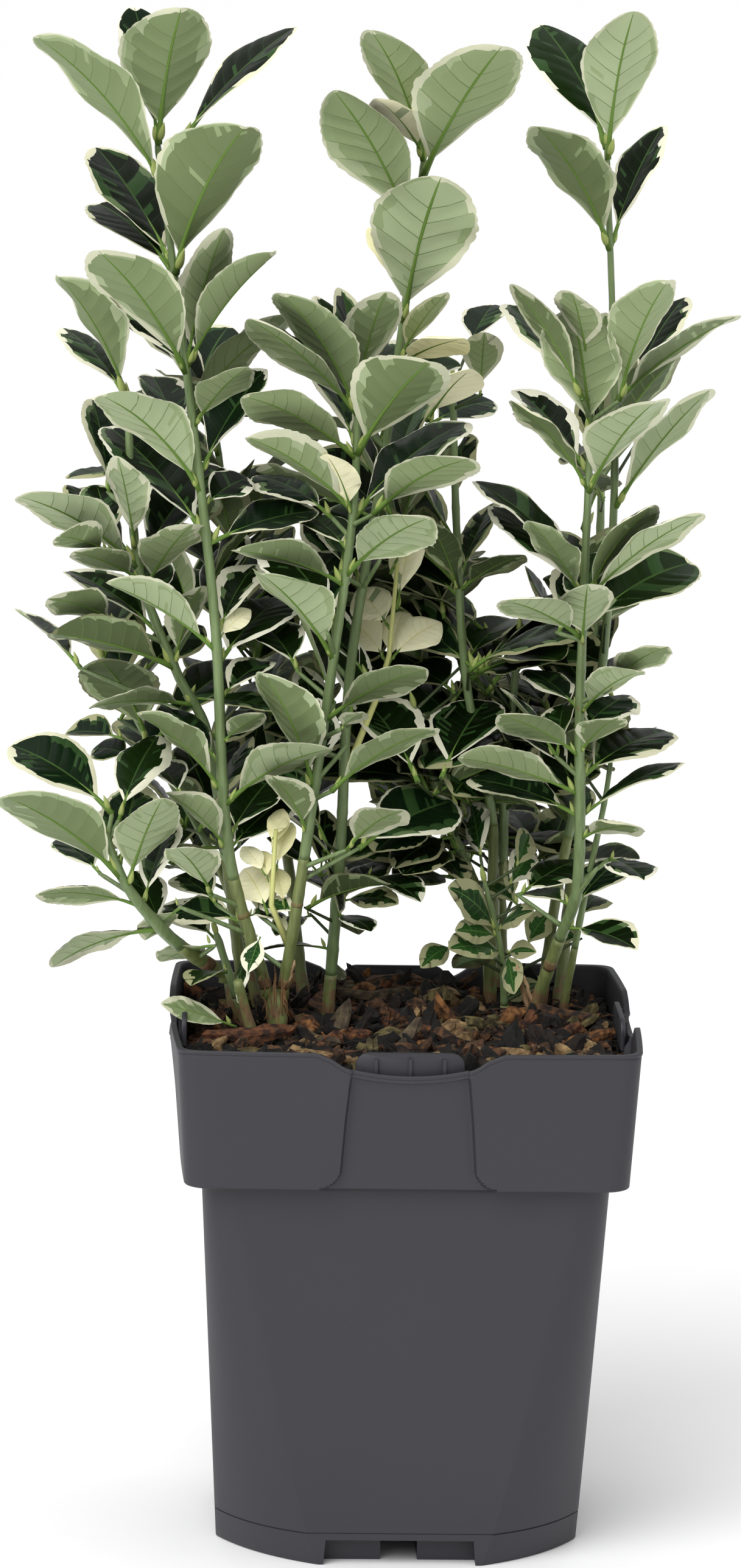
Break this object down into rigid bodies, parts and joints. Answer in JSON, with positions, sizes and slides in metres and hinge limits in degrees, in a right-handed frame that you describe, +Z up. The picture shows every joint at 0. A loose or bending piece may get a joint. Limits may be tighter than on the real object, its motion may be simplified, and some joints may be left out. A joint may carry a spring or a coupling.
{
  "type": "potted variegated shrub",
  "caption": "Variegated evergreen shrub of upright canes with cream-edged leaves, rooted in bark mulch in a square tapered nursery pot.",
  "frame": {"origin": "on the ground under the middle of the whole plant's box", "axes": "+Z up, -Y towards the side of the pot that the picture shows, +X to the right of that side"},
  "size_m": [0.2202, 0.1628, 0.4605],
  "materials": {
    "pot_plastic": "matt dark grey moulded plastic with a very fine grain",
    "bark_mulch": "rough loose bark chips, dark brown to tan",
    "stem": "grey-green young bark, browner and scarred near the foot",
    "foliage": "leathery leaves, grey-green centres with an uneven cream margin"
  },
  "bodies": {
    "root": {"bark_mulch": "bark_mulch", "left_basal_cane": "stem", "left_basal_leaves": "foliage", "left_inner_cane": "stem", "left_inner_leaves": "foliage", "left_low_cane": "stem", "left_low_leaves": "foliage", "left_rear_short_cane": "stem", "left_rear_short_leaves": "foliage", "left_rear_trunk": "stem", "left_second_cane": "stem", "left_second_leaves": "foliage", "left_tall_cane": "stem", "left_tall_leaves": "foliage", "left_trunk": "stem", "low_fresh_cane": "stem", "low_fresh_leaves": "foliage", "middle_front_cane": "stem", "middle_front_leaves": "foliage", "middle_low_cane": "stem", "middle_low_leaves": "foliage", "middle_rear_cane": "stem", "middle_rear_leaves": "foliage", "middle_tall_cane": "stem", "middle_tall_leaves": "foliage", "pot": "pot_plastic", "rear_left_cane": "stem", "rear_left_leaves": "foliage", "rear_middle_cane": "stem", "rear_middle_leaves": "foliage", "rear_right_cane": "stem", "rear_right_leaves": "foliage", "right_front_cane": "stem", "right_front_leaves": "foliage", "right_low_cane": "stem", "right_low_leaves": "foliage", "right_rear_cane": "stem", "right_rear_leaves": "foliage", "right_rear_trunk": "stem", "right_tall_cane": "stem", "right_tall_leaves": "foliage"}
  },
  "joints": []
}
